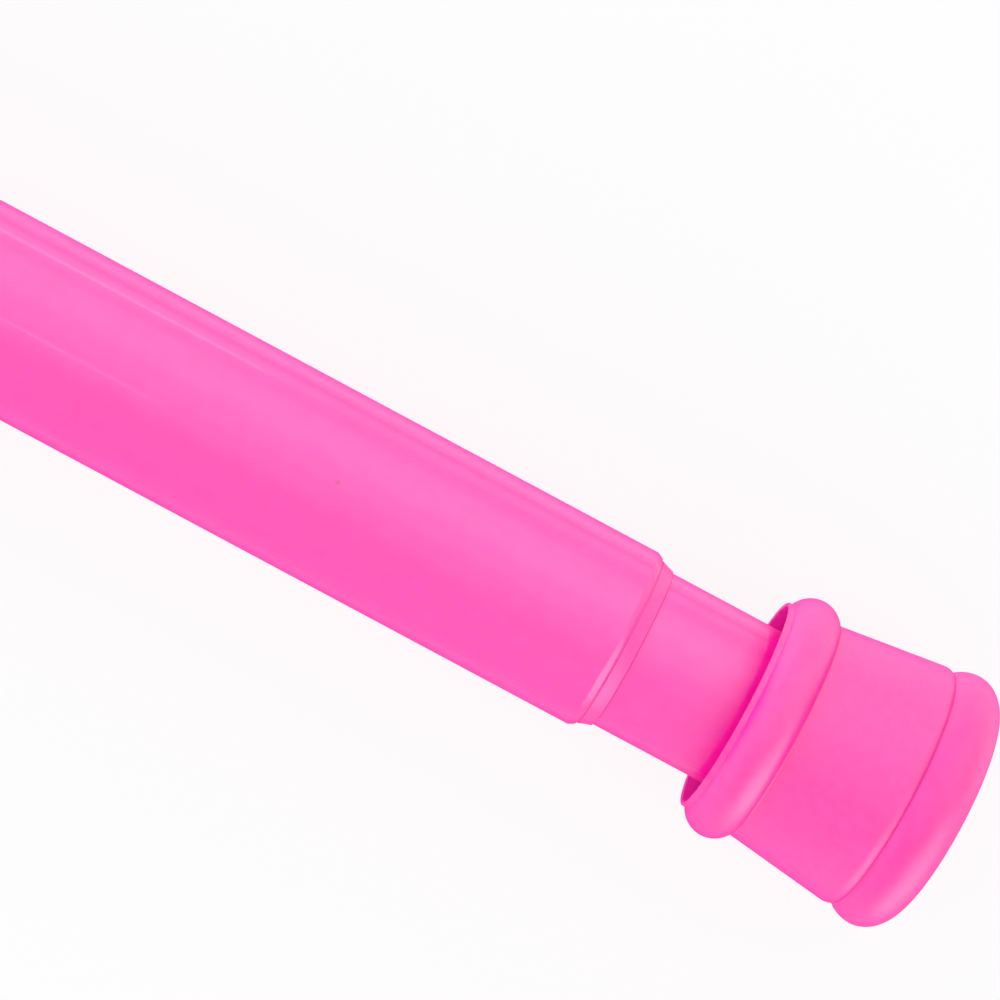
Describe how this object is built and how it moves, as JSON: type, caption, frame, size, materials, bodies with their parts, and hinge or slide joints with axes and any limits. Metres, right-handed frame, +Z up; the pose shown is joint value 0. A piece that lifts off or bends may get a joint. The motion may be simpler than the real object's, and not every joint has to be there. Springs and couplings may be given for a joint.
{
  "type": "extendable shower curtain rod",
  "caption": "Telescopic tension rod for a shower curtain: sliding painted tubes, flared end cups with rubber wall feet, and a spring and twist lock inside.",
  "frame": {"origin": "centre of the left rubber foot's flat wall face, on the rod's axis", "axes": "+X along the rod from the left wall to the right wall, +Z up"},
  "size_m": [1.045, 0.036, 0.036],
  "materials": {
    "tube_enamel": "glossy hot pink enamel on thin steel tube",
    "cup_plastic": "satin hot pink moulding",
    "foot_rubber": "soft hot pink rubber",
    "collar_plastic": "smooth hot pink moulding",
    "plug_plastic": "natural grey-white moulding",
    "lock_plastic": "natural nylon",
    "zinc_steel": "zinc-plated steel",
    "spring_steel": "oiled spring wire"
  },
  "bodies": {
    "outer_rod": {"outer_tube": "tube_enamel", "throat_collar": "collar_plastic", "left_end_plug": "plug_plastic", "left_end_cup": "cup_plastic", "left_screw_washer": "zinc_steel", "left_cup_screw": "zinc_steel", "left_rubber_foot": "foot_rubber"},
    "guide_ring": {"guide_ring": "lock_plastic"},
    "lock_stem": {"lock_head": "lock_plastic", "stem_rod": "zinc_steel", "stop_washer": "zinc_steel", "stop_nut": "zinc_steel", "cam_washer": "zinc_steel", "cam_screw": "zinc_steel", "tension_spring": "spring_steel"},
    "cam_ring": {"cam_ring": "lock_plastic"},
    "inner_rod": {"inner_tube": "tube_enamel", "stem_bush": "plug_plastic", "right_end_plug": "plug_plastic", "right_end_cup": "cup_plastic", "right_screw_washer": "zinc_steel", "right_cup_screw": "zinc_steel", "right_rubber_foot": "foot_rubber"}
  },
  "joints": [
    {"name": "extension", "type": "slide", "parent": "outer_rod", "child": "guide_ring", "axis": [1, 0, 0], "range_m": [-0.003, 0.785]},
    {"name": "twist", "type": "hinge", "parent": "guide_ring", "child": "lock_stem", "pos_m": [0.0604, 0, 0], "axis": [1, 0, 0], "range_deg": [-45, 45]},
    {"name": "cam_turn", "type": "hinge", "parent": "lock_stem", "child": "cam_ring", "pos_m": [0.05, 0.001, 0], "axis": [1, 0, 0], "range_deg": [-45, 45]},
    {"name": "spring_travel", "type": "slide", "parent": "lock_stem", "child": "inner_rod", "axis": [1, 0, 0], "range_m": [-0.025, 0], "stiffness_N_per_m": 3600, "springref_m": 0.01, "deforming": ["tension_spring"]}
  ],
  "couplings": [
    {"joint": "cam_turn", "follows": "twist", "ratio": -1}
  ]
}
